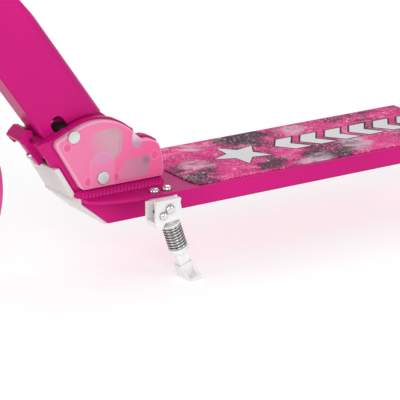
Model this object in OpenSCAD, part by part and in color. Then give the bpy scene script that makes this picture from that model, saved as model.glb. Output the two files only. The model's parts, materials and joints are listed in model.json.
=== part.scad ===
// Kick scooter that folds at the neck, with a swing-down side stand and a stamp-on rear brake.
// Frame: X forward, Y to the rider's left, Z up, origin on the ground midway between the axles.

/* [Overall] */
// Diameter of both road wheels
wheel_d = 200; // [180:1:240]
// Distance between the two axles
wheelbase = 720; // [640:1:860]
// Height of the deck's top face over the ground
deck_top = 83; // [74:1:100]
// Height of the handlebar's centre over the ground, at its lowest setting
bar_height = 850; // [760:5:1020]
// Whole width of the handlebar, over the grip ends
bar_width = 400; // [340:5:500]
// How far the handlebar can be raised
bar_travel = 120; // [60:5:130]

/* [Wheels] */
// Width of the tyres
tyre_w = 30; // [24:1:34]
// Flat middle of the tread
tread_w = 17; // [10:1:20]
// Thickness of the tyre over the wheel core
tyre_t = 22; // [16:1:28]
// Radius of the axle bolts
axle_r = 4; // [3:0.5:5]
// Radius of the wheel bearings
bearing_r = 11; // [10:0.5:13]
// Width of one wheel bearing
bearing_w = 7; // [5:0.5:8]
// Number of spokes in each wheel core
spokes = 6; // [4:1:9]

/* [Deck] */
// Width of the deck over its side skirts
deck_w = 127; // [106:1:152]
// Thickness of the deck's top plate and walls
deck_t = 3; // [2:0.5:4]
// Depth of the two side skirts
skirt_h = 17; // [12:1:21]
// Width of the deep box under the middle of the deck
box_w = 66; // [62:1:74]
// Depth of that box
box_h = 30; // [26:1:36]
// Nose edge's distance in front of the fold pivot
nose_reach = 25.4; // [22:0.2:28]
// Thickness of the printed grip sheet
grip_t = 1.2; // [0.8:0.1:2]
// Edge of the deck left bare beside the grip sheet
grip_margin = 4; // [2:0.5:8]

/* [Folding joint] */
// Height of the fold pivot over the deck's top face
pivot_rise = 17; // [15:0.5:20]
// Half the gap between the two hinge plates
plate_in = 16.5; // [16.4:0.1:18]
// Thickness of a hinge plate
plate_t = 9.5; // [8:0.5:11]
// Thickness of a hinge cover
cover_t = 7.7; // [6:0.1:9]
// Radius of the fold pivot bolt
pivot_r = 5; // [4:0.5:6]
// Lean of the neck from upright
neck_lean = 34.5; // [30:0.5:38]
// Lean of the steering axis from upright
rake = 8; // [6:0.5:11]
// Half the width of the neck
neck_half = 16; // [15:0.5:16]
// Flat front of the neck, in front of its pivot line
neck_front = 18.3; // [16:0.1:20]
// Back of the neck, behind its pivot line
neck_back = 45; // [40:1:48]
// Distance from the fold pivot to the lock pin
lock_reach = 53.8; // [52:0.1:55]
// How far the lock pin lifts while the neck folds down
lock_lift = 11; // [9:0.5:12]
// How far the neck folds back, in degrees
fold_deg = 85; // [75:1:86]

/* [Steering] */
// Outer radius of the head tube
head_r = 18.5; // [17.5:0.5:20]
// Length of the head tube
head_len = 115; // [100:1:130]
// Outer radius of the fork's steerer tube
steerer_r = 14.3; // [12.7:0.1:14.3]
// Outer radius of the steering column
column_r = 17.5; // [17:0.1:19]
// Outer radius of the handlebar tube
bar_r = 11.1; // [11:0.1:12.7]
// Outer radius of the hand grips
hand_r = 16; // [15:0.5:19]
// Length of the hand grips
hand_len = 115; // [90:5:125]

/* [Side stand] */
// Lean of the stand's leg to the rear
stand_lean = 18.6; // [12:0.2:24]
// Outer radius of the stand's spring
coil_r = 9.4; // [8:0.1:9.5]
// Radius of the spring's wire
wire_r = 1.35; // [1.1:0.05:1.5]

/* [Rear brake] */
// Gap from the tyre to the fender
fender_gap = 7; // [5:0.5:9]
// Thickness of the fender
fender_t = 3; // [2:0.5:4]

/* [Hidden] */

$fn = 48;
eps = 0.01;
fit = 0.05;
gap = 0.3;
big = 400;

pink = [0.80, 0.11, 0.49];
frost = [0.94, 0.55, 0.70];
white = [0.95, 0.95, 0.95];
grey = [0.80, 0.79, 0.78];
steel = [0.75, 0.75, 0.74];
black = [0.08, 0.08, 0.09];
night = [0.45, 0.20, 0.40];

wheel_r = wheel_d / 2;
front_x = wheelbase / 2;
rear_x = -wheelbase / 2;
pivot_back = wheel_r + 90;
pivot_x = front_x - pivot_back;
pivot_z = deck_top + pivot_rise;

// where the neck's pivot line meets the steering axis, along each of them
axis_dx = pivot_back;
axis_dz = wheel_r - pivot_z;
meet_neck = (axis_dx * cos(rake) + axis_dz * sin(rake)) / sin(neck_lean + rake);
meet_steer = (meet_neck * cos(neck_lean) - axis_dz) / cos(rake);
head_lo = meet_steer - 0.59 * head_len;
head_hi = head_lo + head_len;
cup_h = 10;
crown_lo = wheel_r + 10;
crown_hi = head_lo - cup_h - 2;

deck_front = nose_reach;
deck_back = -(wheelbase - pivot_back - wheel_r - 10);
deck_half = deck_w / 2;
skirt_front = -66;

bar_at = (bar_height - wheel_r) / cos(rake);
column_lo = head_hi + cup_h + 4;
column_hi = bar_at - 165;
steerer_hi = column_lo + 65;
stem_r = steerer_r - 0.05;
stem_lo = column_hi - bar_travel - 48;

plate_out = plate_in + plate_t;
cover_in = plate_out + gap;
cover_out = cover_in + cover_t;
head_disc_r = 6.2;
shoulder_r = 57.5;
tenon_half = neck_half - 4;
slot_r = 7.3;
pin_r = 7.2;
pin_end_r = 5;
track_depth = 3.3;
edge_slope = 0.58;
bevel = 8;
bridge_top = 13.5;
screw_x = [[37.6, 34.7], [-56.9, 13.9]];
screw_r = 1.5;
notch_x = lock_reach * sin(neck_lean);
notch_z = lock_reach * cos(neck_lean);

clamp_h = 40;
clamp_z = [column_lo + 11, column_lo + 29];
collar_h = 28;
collar_z = column_hi - collar_h / 2;
lever_x = -column_r - 9.5;
lever_y = 17.7;

fork_in = tyre_w / 2 + 7;
fork_t = 6;
drop_in = 24;
drop_t = 6;
hub_half = tyre_w / 2;

fender_r = wheel_r + fender_gap;
fender_angle = 20;
fender_pin_reach = wheel_r + 17;
fender_pin_x = rear_x + fender_pin_reach * cos(fender_angle);
fender_pin_z = wheel_r + fender_pin_reach * sin(fender_angle);

stand_x = -43.8;
stand_drop = 8.6;
stand_z = deck_top - stand_drop;
stand_in = deck_half + 0.5;
stand_plate = 3;
stand_gap = 12.4;
stand_mid = stand_in + stand_plate + stand_gap / 2;
stand_out = stand_in + 2 * stand_plate + stand_gap;
stand_len = stand_z / cos(stand_lean);
coil_lo = 19;
coil_hi = 44;
deck_bolt_x = [-45, -59];
deck_bolt_y = deck_half - 11.5;
bolt_r = 2.5;
stop_dx = 7.4;
stop_dz = 5.3;

// points on an arc
function arc(cx, cy, r, from, to, n = 24) =
  [for (i = [0 : n]) let (a = from + (to - from) * i / n) [cx + r * cos(a), cy + r * sin(a)]];

// a flat shape in X and Z, made solid from one Y to another
module slab(y0, y1) {
  rotate([90, 0, 0])
    translate([0, 0, -y1])
      linear_extrude(y1 - y0)
        children();
}

// a round bar along Y
module rod(r, y0, y1) {
  translate([0, y0, 0])
    rotate([-90, 0, 0])
      cylinder(h = y1 - y0, r = r);
}

module ring(r, hole, y0, y1) {
  difference() {
    rod(r, y0, y1);
    rod(hole, y0 - 1, y1 + 1);
  }
}

// a flat-headed disc with an eased rim, along Y from its seat
module disc_head(r, y, t) {
  translate([0, y, 0])
    rotate([-90, 0, 0])
      rotate_extrude()
        polygon([[0, 0], [r, 0], [r, t - 0.4], [r - 0.4, t], [0, t]]);
}

// a domed screw head, along Z from its seat
module dome(r, t) {
  rotate_extrude()
    polygon(concat([[0, 0]], arc(0, 0, 1, 0, 90, 12) * [[r, 0], [0, t]]));
}

module at_pivot() {
  translate([pivot_x, 0, pivot_z])
    children();
}

// the neck's own frame: Z up along the neck, X out of its front face
module at_neck() {
  at_pivot()
    rotate([0, neck_lean, 0])
      children();
}

// the steering frame: Z up along the steering axis, from the front axle
module at_steer() {
  translate([front_x, 0, wheel_r])
    rotate([0, -rake, 0])
      children();
}

module at_rear() {
  translate([rear_x, 0, wheel_r])
    children();
}

// the stand's frame: Z up along its leg, from its pivot
module at_stand() {
  translate([pivot_x + stand_x, stand_mid, stand_z])
    rotate([0, stand_lean, 0])
      children();
}

// deck

// outline of the deck's top plate, from above
function deck_side(side) = concat(
  [[deck_front, side * box_w / 2]],
  [for (a = [10 : 10 : 90])
    [skirt_front + (deck_front - skirt_front) * cos(a),
     side * (box_w / 2 + (deck_half - box_w / 2) * pow(sin(a), 0.8))]],
  [[deck_back, side * deck_half]]);

module deck_plan() {
  left = deck_side(1);
  right = deck_side(-1);
  polygon(concat(left, [for (i = [len(right) - 1 : -1 : 0]) right[i]]));
}

// the slanted nose, seen from the side: back is how far inside the outer face
module nose_side(back) {
  lip = 6;
  slant = 27.4;
  polygon([[deck_front - back, 1], [deck_front - back, -lip],
           [deck_front - slant - back * 1.33, -box_h - eps],
           [deck_front - slant - back * 1.33, -box_h - 1],
           [deck_front + 1, -box_h - 1], [deck_front + 1, 1]]);
}

module deck() {
  color(pink)
    translate([pivot_x, 0, deck_top])
      difference() {
        union() {
          translate([0, 0, -deck_t])
            linear_extrude(deck_t)
              deck_plan();
          for (side = [-1, 1])
            translate([deck_back, side > 0 ? deck_half - deck_t : -deck_half, -skirt_h])
              cube([skirt_front - deck_back, deck_t, skirt_h - 1]);
          difference() {
            translate([deck_back, -box_w / 2, -box_h])
              cube([deck_front - deck_back, box_w, box_h - 1]);
            translate([deck_back - 1, -box_w / 2 + deck_t, -box_h + deck_t])
              cube([deck_front - deck_back + 2, box_w - 2 * deck_t, box_h - 2 * deck_t]);
          }
        }
        slab(-box_w, box_w)
          nose_side(deck_t);
        for (x = deck_bolt_x)
          translate([x, deck_bolt_y, -deck_t - 1])
            cylinder(h = deck_t + 2, r = bolt_r + fit);
      }
}

module deck_nose() {
  color(grey)
    translate([pivot_x, 0, deck_top])
      slab(-box_w / 2, box_w / 2)
        difference() {
          intersection() {
            nose_side(deck_t);
            translate([-box_h, -box_h])
              square([deck_front + box_h, box_h]);
          }
          nose_side(0);
        }
}

module grip_sheet() {
  front = -88;
  back = deck_back + 6;
  half = deck_half - grip_margin;
  corner = 12;
  color(night)
    translate([pivot_x, 0, deck_top])
      linear_extrude(grip_t)
        polygon([[front, -half + corner], [front, half - corner], [front - 4, half],
                 [back + corner, half], [back, half - corner], [back, -half + corner],
                 [back + corner, -half], [front - 4, -half]]);
}

// folding joint, on the deck

// front edge of the hinge plates: X at a height over the pivot
function edge_x(u) = 28.8 + (u + 17) * edge_slope;

function crest(r) = arc(4, 0.5, r, 60, 134, 30);

module plate_side() {
  base = -pivot_rise;
  polygon(concat(
    [[edge_x(base) - 5.8, base], [edge_x(bridge_top) - 5.8, bridge_top],
     [edge_x(bridge_top), bridge_top], [60, 36.5], [55, 40], [48, 42.3], [34, 50.3]],
    crest(56.5),
    [[-44.8, 31.8], [-50.8, 31.4], [-57, 29.6], [-63.4, 25.4], [-68.3, 11.5], [-69.4, base]]));
}

module cover_side() {
  offset(r = 3, $fn = 24)
    offset(delta = -3)
      polygon(concat(
        [[21.5, -9.6], [48, 36.8], [46.5, 41.5], [31, 48.6]],
        crest(54.6),
        [[-44.2, 29.4], [-51.5, 29.6], [-62.3, 24.3], [-66.7, 10.7], [-67.8, -4.2],
         [-66.3, -9.6]]));
}

// the track that the ends of the lock pin run in: all that lies over their path
module pin_track() {
  n = 24;
  start = 90 - neck_lean;
  wide = pin_end_r + gap;
  low = lock_reach - wide;
  front = start - 6.2;
  polygon(concat(
    [[90 * cos(front), 90 * sin(front)], [low * cos(front), low * sin(front)]],
    [for (i = [0 : n]) let (a = i / n, b = start + a * (fold_deg + 6),
                            r = low + a * lock_lift * (fold_deg + 6) / fold_deg)
      [r * cos(b), r * sin(b)]],
    [[90 * cos(start + fold_deg + 6), 90 * sin(start + fold_deg + 6)],
     [90 * cos(start + 45), 90 * sin(start + 45)]]));
}

// the second, folded notch, seen through the cover
module rear_notch() {
  a = 90 - neck_lean + fold_deg;
  rotate(a)
    translate([47, 0]) {
      circle(r = 4.5);
      translate([0, -4.5])
        square([20, 9]);
    }
}

// side is 1 for the left plate and -1 for the right one
module hinge_plate(side) {
  y0 = side > 0 ? plate_in : -plate_out;
  in0 = side > 0 ? plate_in - 1 : -plate_in - track_depth;
  color(pink)
    at_pivot()
      difference() {
        slab(y0, y0 + plate_t)
          difference() {
            plate_side();
            circle(r = pivot_r + eps * 2);
            rear_notch();
          }
        slab(in0, in0 + track_depth + 1)
          pin_track();
        // the outer corner of the front edge is bevelled
        translate([edge_x(0), 0, 0])
          rotate([0, atan(edge_slope), 0])
            translate([0, 0, -40])
              linear_extrude(110)
                scale([1, side])
                  polygon([[-bevel - 0.6, plate_out + 0.52], [1.1, plate_in + 1.6],
                           [1.1, plate_out + 1], [-bevel - 0.6, plate_out + 1]]);
        for (x = screw_x)
          translate([x[0], 0, x[1]])
            rod(screw_r, side > 0 ? plate_out - 6 : -plate_out - 1,
                side > 0 ? plate_out + 1 : -plate_out + 6);
      }
}

module hinge_plate_left() {
  hinge_plate(1);
}

module hinge_plate_right() {
  hinge_plate(-1);
}

module hinge_bridge() {
  t = 5;
  base = -pivot_rise;
  color(grey)
    at_pivot()
      slab(-plate_out, plate_out)
        polygon([[edge_x(base) - t, base], [edge_x(base) + 0.8, base],
                 [edge_x(bridge_top - 1) + 0.8, bridge_top - 1],
                 [edge_x(bridge_top) - 0.6, bridge_top], [edge_x(bridge_top) - t, bridge_top]]);
}

// a run of overlapping weld beads beside a hinge plate
module weld_bead(side) {
  pitch = 4;
  count = 23;
  reach = 9.8;
  rise = 6.9;
  color(pink)
    at_pivot()
      intersection() {
        for (i = [0 : count - 1])
          translate([edge_x(-pivot_rise) - 6 - i * pitch, side * plate_out, -pivot_rise])
            scale([0.42, 1, 0.75])
              sphere(r = reach, $fn = 20);
        translate([-90, side > 0 ? plate_out : -plate_out - big, -pivot_rise])
          cube([140, big, rise]);
      }
}

module weld_bead_left() {
  weld_bead(1);
}

module weld_bead_right() {
  weld_bead(-1);
}

module hinge_cover(side) {
  y0 = side > 0 ? cover_in : -cover_out;
  color(frost)
    at_pivot()
      difference() {
        slab(y0, y0 + cover_t)
          difference() {
            cover_side();
            circle(r = head_disc_r + gap);
            for (x = screw_x)
              translate(x)
                circle(r = screw_r + fit);
          }
        // hollow behind, with the rim left solid
        slab(side > 0 ? cover_in - 1 : -cover_in - cover_t + 2.2,
             side > 0 ? cover_in + cover_t - 2.2 : -cover_in + 1)
          difference() {
            offset(delta = -2.4)
              cover_side();
            circle(r = 12);
            translate([-12, -40])
              square([24, 40]);
            for (x = screw_x)
              translate(x)
                circle(r = 4);
            translate([notch_x, notch_z])
              circle(r = 8);
          }
        // seats of the screws
        for (x = screw_x)
          translate([x[0], 0, x[1]])
            rod(3.1, side > 0 ? cover_out - 1.4 : -cover_out - 1,
                side > 0 ? cover_out + 1 : -cover_out + 1.4);
        // seat of the disc over the riding notch
        translate([notch_x, 0, notch_z])
          rod(2, side > 0 ? cover_out - 3 : -cover_out - 1,
              side > 0 ? cover_out + 1 : -cover_out + 3);
      }
}

module hinge_cover_left() {
  hinge_cover(1);
}

module hinge_cover_right() {
  hinge_cover(-1);
}

module cover_screws() {
  color(frost)
    at_pivot()
      for (side = [-1, 1])
        for (x = screw_x)
          translate([x[0], 0, x[1]])
            mirror([0, side > 0 ? 0 : 1, 0]) {
              rod(screw_r - fit, plate_out - 5, cover_out - 1);
              rod(2.9, cover_out - 1.38, cover_out - 0.2);
            }
}

module notch_caps() {
  color(steel)
    at_pivot()
      translate([notch_x, 0, notch_z])
        for (side = [0, 1])
          mirror([0, side, 0]) {
            disc_head(head_disc_r, cover_out + 0.02, 2);
            rod(1.95, cover_out - 2.9, cover_out + 0.5);
          }
}

module pivot_bolt() {
  color(steel)
    at_pivot() {
      rod(pivot_r, -cover_out - 1.9, plate_out + 1);
      rod(head_disc_r, plate_out + gap, cover_out);
      disc_head(head_disc_r, cover_out - 0.5, 2.5);
    }
}

module pivot_nut() {
  color(steel)
    at_pivot()
      difference() {
        union() {
          rod(head_disc_r, -cover_out, -plate_out - gap);
          mirror([0, 1, 0])
            disc_head(head_disc_r, cover_out - 0.5, 2.5);
        }
        rod(pivot_r + 0.02, -cover_out - 1.95, -plate_out);
      }
}

module pivot_washers() {
  color(white)
    at_pivot()
      for (side = [0, 1])
        mirror([0, side, 0])
          ring(13, pivot_r + fit, tenon_half, plate_in - 0.1);
}

// neck

module neck_section(inset) {
  half = neck_half - inset;
  flat = 30;
  ease = 2;
  polygon(concat(
    [[neck_front - inset, -half + ease], [neck_front - inset, half - ease],
     [neck_front - inset - ease, half], [-flat, half]],
    arc(0, 0, 1, 90, -90, 16) * [[-(neck_back - flat - inset), 0], [0, half]] +
      [for (i = [0 : 16]) [-flat, 0]],
    [[-flat, -half], [neck_front - inset - ease, -half]]));
}

// the neck's body, cut back to a slope towards the head tube
module neck_body(inset) {
  difference() {
    translate([0, 0, 20])
      linear_extrude(meet_neck + 40)
        neck_section(inset);
    slab(-40, 40)
      polygon([[-neck_back + inset, 150], [-26 + inset, meet_neck + 5],
               [-26 + inset, big], [-90, big], [-90, 150]]);
  }
}

module neck() {
  color(pink)
    difference() {
      at_neck()
        difference() {
          union() {
            difference() {
              neck_body(0);
              difference() {
                neck_body(4);
                slab(-40, 40)
                  polygon([[-60, 0], [40, 0], [40, 66], [-60, 66]]);
              }
              slab(-40, 40)
                circle(r = shoulder_r);
            }
            // the narrow tenon that turns between the hinge plates
            slab(-tenon_half, tenon_half)
              polygon(concat(
                arc(0, 0, 16, 180, 360, 24),
                [[16, 1], [neck_front, 6], [neck_front, 110], [-16, 110]]));
          }
          rod(pivot_r + fit, -40, 40);
          slab(-40, 40)
            slot(lock_reach, lock_reach + lock_lift, slot_r);
          // room for the slider's arm
          translate([-10.6, -3.4, lock_reach - 10.6])
            cube([40, 6.8, 21.2 + lock_lift]);
          // room for the spring
          translate([0, 0, lock_reach + 5])
            cylinder(h = 46, r = 6.5);
        }
      at_steer() {
        cylinder(h = big, r = head_r);
        translate([0, -40, 0])
          cube([big, 80, big]);
      }
    }
}

module slot(lo, hi, r) {
  translate([0, lo])
    circle(r = r);
  translate([0, hi])
    circle(r = r);
  translate([-r, lo])
    square([2 * r, hi - lo]);
}

module lock_pin() {
  color(steel)
    at_neck()
      translate([0, 0, lock_reach]) {
        rod(pin_end_r, -plate_in - track_depth + gap, plate_in + track_depth - gap);
        rod(pin_r, -neck_half + 0.1, neck_half - 0.1);
      }
}

module lock_slider() {
  color(pink)
    at_neck() {
      // arm with an eye round the pin
      difference() {
        union() {
          translate([0, 0, lock_reach])
            rod(10, -3, 3);
          translate([0, -3, lock_reach - 7])
            cube([neck_front + 3, 6, 14]);
        }
        translate([0, 0, lock_reach])
          rod(pin_r, -4, 4);
      }
      // rounded block between the plates
      translate([0, 0, 42])
        linear_extrude(20)
          polygon(concat([[neck_front + 0.7, -11], [neck_front + 0.7, 11]],
                         arc(neck_front + 3.2, 4, 7, 90, 0, 10),
                         arc(neck_front + 3.2, -4, 7, 0, -90, 10)));
      // bar down the front
      translate([neck_front + 10, -7, 38])
        cube([6.2, 10, 28]);
      // finger tab across the top
      slab(-24, 3)
        polygon([[22, 66], [33, 66], [35.5, 68.5], [35.5, 72], [31, 73.5], [24, 74.5],
                 [20.5, 71.5]]);
      slab(-24, -20)
        polygon([[30, 61], [34.5, 61], [35.5, 67], [29, 67]]);
    }
}

module lock_screw() {
  color(steel)
    at_neck()
      translate([neck_front + 16.2, -2, 50])
        rotate([0, 90, 0])
          difference() {
            cylinder(h = 2.6, r = 3.6);
            translate([0, 0, 1])
              cylinder(h = 3, r = 1.7, $fn = 6);
          }
}

module coil(r, wire, lo, hi, turns) {
  pitch = (hi - lo - 2 * wire) / turns;
  for (i = [0 : turns])
    translate([0, 0, lo + wire + i * pitch])
      rotate_extrude($fn = 32)
        translate([r - wire, 0])
          circle(r = wire, $fn = 10);
  difference() {
    translate([0, 0, lo + wire])
      cylinder(h = hi - lo - 2 * wire, r = r - wire + 0.35, $fn = 32);
    translate([0, 0, lo])
      cylinder(h = hi - lo, r = r - wire - 0.35, $fn = 32);
  }
}

module lock_spring() {
  color(steel)
    at_neck()
      coil(6, 0.7, lock_reach + 10.2, lock_reach + 36, 9);
}

// steering

module head_tube() {
  color(pink)
    at_steer()
      difference() {
        translate([0, 0, head_lo])
          cylinder(h = head_len, r = head_r);
        translate([0, 0, head_lo - 1])
          cylinder(h = head_len + 2, r = steerer_r + 1.7);
      }
}

module cup(z) {
  translate([0, 0, z])
    rotate_extrude()
      polygon([[steerer_r + fit, 0.1], [head_r + 0.5, 0.1], [head_r + 2, 2.5],
               [head_r + 2, cup_h - 2.5], [head_r + 0.5, cup_h - 0.1],
               [steerer_r + fit, cup_h - 0.1]]);
}

module headset_cups() {
  color(steel)
    at_steer() {
      cup(head_lo - cup_h);
      cup(head_hi);
    }
}

module fork_leg() {
  slab(fork_in, fork_in + fork_t)
    difference() {
      polygon(concat(
        arc(0, 0, 13, 180, 360, 20),
        [[13, 20], [12, crown_lo - 10], [14, crown_lo + 8], [14, crown_hi - 16],
         [-14, crown_hi - 16], [-14, crown_lo + 8], [-12, crown_lo - 10], [-13, 20]]));
      circle(r = axle_r + 0.02);
    }
}

module fork() {
  out = fork_in + fork_t;
  ease = 7;
  color(pink)
    at_steer()
      difference() {
        union() {
          fork_leg();
          mirror([0, 1, 0])
            fork_leg();
          // crown, arched from leg to leg
          translate([-14, 0, 0])
            rotate([90, 0, 90])
              linear_extrude(28)
                polygon(concat(
                  [[-out, crown_lo - 2], [-out, crown_hi - 20]],
                  arc(-steerer_r - 8, crown_hi - 20, out - steerer_r - 8, 180, 90, 8),
                  [[-steerer_r - 4, crown_hi], [steerer_r + 4, crown_hi]],
                  arc(steerer_r + 8, crown_hi - 20, out - steerer_r - 8, 90, 0, 8),
                  [[out, crown_hi - 20], [out, crown_lo - 2], [fork_in, crown_lo - 2],
                   [fork_in - ease, crown_lo + ease], [-fork_in + ease, crown_lo + ease],
                   [-fork_in, crown_lo - 2]]));
          translate([0, 0, crown_lo + ease])
            cylinder(h = steerer_hi - crown_lo - ease, r = steerer_r);
        }
        translate([0, 0, crown_lo + ease + 14])
          cylinder(h = big, r = steerer_r - 2.4);
      }
}

module column() {
  color(white)
    at_steer()
      difference() {
        translate([0, 0, column_lo])
          cylinder(h = column_hi - column_lo, r = column_r);
        translate([0, 0, column_lo - 1])
          cylinder(h = column_hi - column_lo + 2, r = steerer_r + 0.05);
        translate([-column_r - 1, -1, column_hi - 34])
          cube([column_r, 2, 40]);
      }
}

// a split clamp round the column: ears of reach, half the slit wide apart
module clamp_ring(z, h, r, reach, ear) {
  difference() {
    union() {
      translate([0, 0, z])
        cylinder(h = h, r = r);
      translate([-reach, -ear, z])
        cube([reach, 2 * ear, h]);
    }
    translate([0, 0, z - 1])
      cylinder(h = h + 2, r = column_r + 0.02);
    translate([-reach - 1, -1.5, z - 1])
      cube([reach + 1, 3, h + 2]);
  }
}

module column_clamp() {
  color(black)
    at_steer()
      difference() {
        clamp_ring(column_lo, clamp_h, column_r + 4, column_r + 14, 9);
        for (z = clamp_z)
          translate([-column_r - 9, 0, z])
            rod(bolt_r + fit, -20, 20);
      }
}

module clamp_screws() {
  color(steel)
    at_steer()
      for (z = clamp_z)
        translate([-column_r - 9, 0, z]) {
          rod(bolt_r, -9, 9.1);
          difference() {
            rod(4.4, 9.05, 13);
            translate([0, 11, 0])
              rotate([-90, 0, 0])
                cylinder(h = 3, r = 2.2, $fn = 6);
          }
        }
}

module height_collar() {
  color(black)
    at_steer()
      difference() {
        clamp_ring(column_hi - collar_h, collar_h, column_r + 3.5, column_r + 16, 9);
        translate([lever_x, 0, collar_z])
          rod(bolt_r + fit, -20, 20);
      }
}

module collar_bolt() {
  color(steel)
    at_steer()
      translate([lever_x, 0, collar_z]) {
        rod(bolt_r, -15, lever_y);
        translate([0, lever_y, -7])
          cylinder(h = 14, r = 4);
      }
}

module collar_nut() {
  color(steel)
    at_steer()
      translate([lever_x, 0, collar_z])
        difference() {
          union() {
            rod(6, -11, -9.05);
            translate([0, -16, 0])
              rotate([-90, 0, 0])
                cylinder(h = 5, r = 5.4, $fn = 6);
          }
          rod(2.52, -15.1, 0);
        }
}

module collar_lever() {
  eye = 8;
  color(black)
    at_steer()
      difference() {
        translate([lever_x, lever_y, collar_z - 7])
          linear_extrude(14)
            polygon(concat(
              arc(0, 0, eye, 90, 290, 24),
              [[9, -1.5], [14, 1.6], [30, 4.4], [46, 3.4], [58, 0.6], [59, 3.2], [47, 8],
               [30, 9.4], [12, 8.6]]));
        translate([lever_x, lever_y, collar_z - 8])
          cylinder(h = 16, r = 4 + fit);
        // room for the bolt as the lever swings
        translate([lever_x, lever_y, collar_z - 3])
          rotate([0, 0, -185])
            linear_extrude(6)
              polygon(concat([[0, 0]], arc(0, 0, 9, -70, 140, 24)));
      }
}

module handlebar() {
  half = bar_width / 2;
  color(white)
    at_steer()
      difference() {
        union() {
          translate([0, 0, stem_lo])
            cylinder(h = bar_at - stem_lo, r = stem_r);
          translate([0, 0, bar_at]) {
            rod(bar_r, -half + 3, half - 3);
            rod(bar_r + 4, -26, 26);
          }
        }
        translate([0, 0, stem_lo - 1])
          cylinder(h = bar_at - stem_lo - 20, r = stem_r - 2);
        translate([0, 0, bar_at])
          for (side = [0, 1])
            mirror([0, side, 0])
              rod(bar_r - 2, 30, half);
      }
}

module grip(side) {
  half = bar_width / 2;
  ribs = floor((hand_len - 22) / 7);
  color(pink)
    at_steer()
      translate([0, 0, bar_at])
        mirror([0, side > 0 ? 0 : 1, 0])
          translate([0, half - hand_len, 0])
            rotate([-90, 0, 0])
              rotate_extrude()
                polygon(concat(
                  [[bar_r + 0.02, 0], [hand_r + 6, 0], [hand_r + 6.5, 2], [hand_r + 6, 4],
                   [hand_r - 1, 6]],
                  [for (i = [0 : ribs - 1], k = [0 : 3])
                    [hand_r - (k == 0 || k == 3 ? 1.2 : 0), 10 + i * 7 + [0, 1, 5, 6][k]]],
                  [[hand_r, hand_len - 8], [hand_r, hand_len - 3], [hand_r - 2, hand_len],
                   [0, hand_len], [0, hand_len - 2.9], [bar_r + 0.02, hand_len - 2.9]]));
}

module grip_left() {
  grip(1);
}

module grip_right() {
  grip(-1);
}

// wheels

module axle_bolt(out) {
  rod(axle_r, -out - 5.5, out + 0.5);
  disc_head(axle_r + 3.2, out + 0.02, 3);
}

module axle_nut(out) {
  difference() {
    union() {
      rod(axle_r + 4, -out - 1.4, -out - 0.02);
      translate([0, -out - 7, 0])
        rotate([-90, 0, 0])
          cylinder(h = 5.7, r = axle_r + 3, $fn = 6);
    }
    rod(axle_r + 0.02, -out - 6, 0);
  }
}

module spacers(inner) {
  for (side = [0, 1])
    mirror([0, side, 0])
      ring(axle_r + 2.6, axle_r + 0.02, hub_half + 0.02, inner - 0.02);
}

module bearings() {
  for (side = [0, 1])
    mirror([0, side, 0])
      ring(bearing_r, axle_r + fit, hub_half - bearing_w, hub_half);
}

module core() {
  rim = wheel_r - tyre_t;
  rim_t = 7;
  boss = bearing_r + 4;
  thick = 16;
  difference() {
    union() {
      ring(boss, axle_r + 3, -hub_half + 0.5, hub_half - 0.5);
      ring(rim, rim - rim_t, -hub_half + 3, hub_half - 3);
      for (i = [0 : spokes - 1])
        rotate([0, 360 / spokes * i, 0])
          slab(-thick / 2, thick / 2)
            polygon([[-6, boss - 3], [6, boss - 3], [4.5, (boss + rim) / 2], [9, rim - 5],
                     [-9, rim - 5], [-4.5, (boss + rim) / 2]]);
    }
    for (side = [0, 1])
      mirror([0, side, 0])
        rod(bearing_r + 0.01, hub_half - bearing_w - 0.01, hub_half + 1);
  }
}

module tyre() {
  rim = wheel_r - tyre_t;
  shoulder = (tyre_w - tread_w) / 2;
  rotate([-90, 0, 0])
    rotate_extrude($fn = 96)
      polygon(concat(
        [[rim, -tyre_w / 2 + 1.5], [rim + 2, -tyre_w / 2]],
        arc(0, 0, 1, -90, 0, 8) * [[tyre_t * 0.4, 0], [0, shoulder]] +
          [for (i = [0 : 8]) [wheel_r - tyre_t * 0.4, -tread_w / 2]],
        arc(0, 0, 1, 0, 90, 8) * [[tyre_t * 0.4, 0], [0, shoulder]] +
          [for (i = [0 : 8]) [wheel_r - tyre_t * 0.4, tread_w / 2]],
        [[rim + 2, tyre_w / 2], [rim, tyre_w / 2 - 1.5]]));
}

module front_axle_bolt() {
  color(steel)
    at_steer()
      axle_bolt(fork_in + fork_t);
}

module front_axle_nut() {
  color(steel)
    at_steer()
      axle_nut(fork_in + fork_t);
}

module front_spacers() {
  color(steel)
    at_steer()
      spacers(fork_in);
}

module front_bearings() {
  color(steel)
    at_steer()
      bearings();
}

module front_core() {
  color(white)
    at_steer()
      core();
}

module front_tyre() {
  color(pink)
    at_steer()
      tyre();
}

// side is 1 for the left plate and -1 for the right one
module dropout(side) {
  y0 = side > 0 ? drop_in : -drop_in - drop_t;
  end_x = pivot_x + deck_back;
  low = deck_top - box_h + deck_t;
  high = deck_top - deck_t;
  color(pink)
    slab(y0, y0 + drop_t)
      difference() {
        polygon(concat(
          [[end_x + 60, low], [end_x + 60, high], [end_x - 2, high],
           [end_x - 2, fender_pin_z - 12]],
          arc(fender_pin_x, fender_pin_z, 8, 10, 170, 12),
          [[fender_pin_x - 16, wheel_r + 20], [fender_pin_x - 40, wheel_r + 14]],
          arc(rear_x, wheel_r, 15, 75, 265, 20),
          [[end_x - 30, low + 2], [end_x - 4, low]]));
        translate([rear_x, wheel_r])
          circle(r = axle_r + 0.02);
        translate([fender_pin_x, fender_pin_z])
          circle(r = 3.02);
      }
}

module dropout_left() {
  dropout(1);
}

module dropout_right() {
  dropout(-1);
}

module rear_axle_bolt() {
  color(steel)
    at_rear()
      axle_bolt(drop_in + drop_t);
}

module rear_axle_nut() {
  color(steel)
    at_rear()
      axle_nut(drop_in + drop_t);
}

module rear_spacers() {
  color(steel)
    at_rear()
      spacers(drop_in);
}

module rear_bearings() {
  color(steel)
    at_rear()
      bearings();
}

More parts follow.
